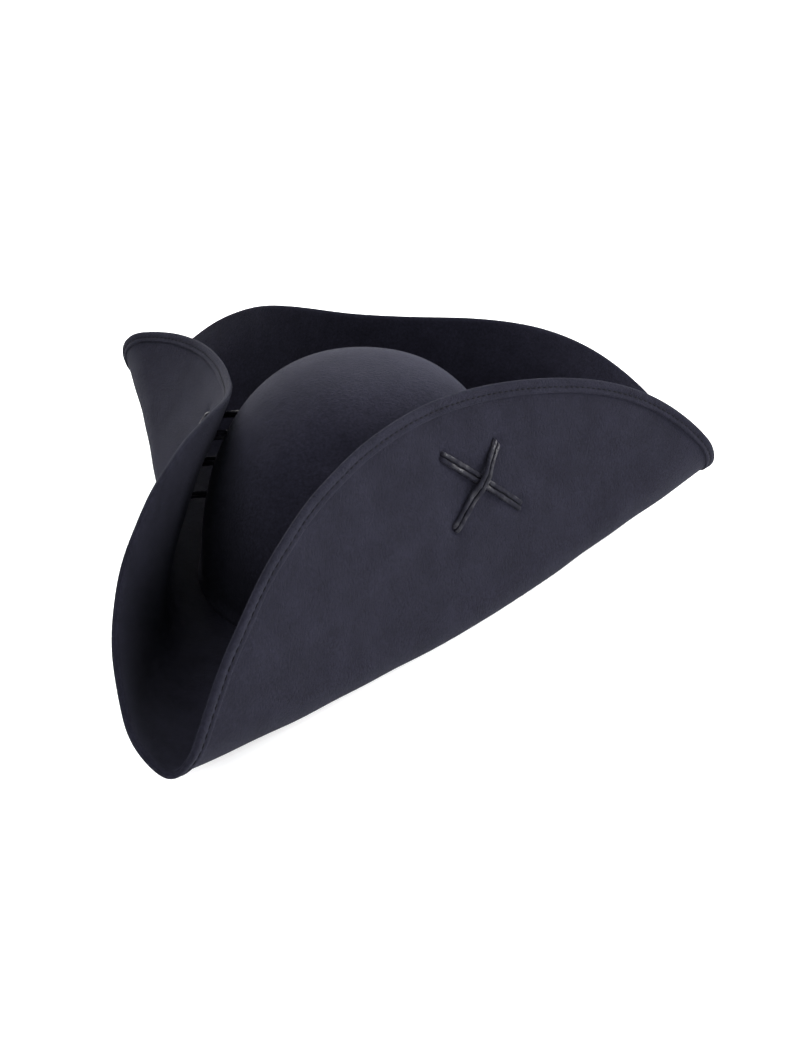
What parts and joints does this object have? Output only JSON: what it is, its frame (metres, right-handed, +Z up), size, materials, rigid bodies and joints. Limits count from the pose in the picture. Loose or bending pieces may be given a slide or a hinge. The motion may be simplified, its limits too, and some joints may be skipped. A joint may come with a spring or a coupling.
{
  "type": "pirate hat",
  "caption": "Dark felt tricorn pirate hat: domed crown, brim folded up on three sides, stitched wired hem and a crossed lace holding each side flap.",
  "frame": {"origin": "middle of the head opening, on the surface that the hat stands on", "axes": "+Z up, -Y towards the front tip, +X towards the right side flap"},
  "size_m": [0.4006, 0.4269, 0.1295],
  "materials": {
    "felt": "matte pressed felt, dark charcoal navy",
    "tape": "black cotton tape",
    "band": "black ribbed ribbon",
    "lace": "glossy black imitation leather cord",
    "thread": "dark sewing thread",
    "wire": "drawn wire",
    "sleeve": "crimped tube",
    "label": "blank satin label"
  },
  "bodies": {
    "root": {"crown_felt": "felt", "headline_tape": "tape", "brim_felt": "felt", "hem_fold": "felt", "brim_wire": "wire", "wire_sleeve": "sleeve", "hem_stitching": "thread", "sweatband": "band", "sweatband_stitching": "thread", "care_label": "label", "right_lace": "lace", "left_lace": "lace"}
  },
  "joints": []
}
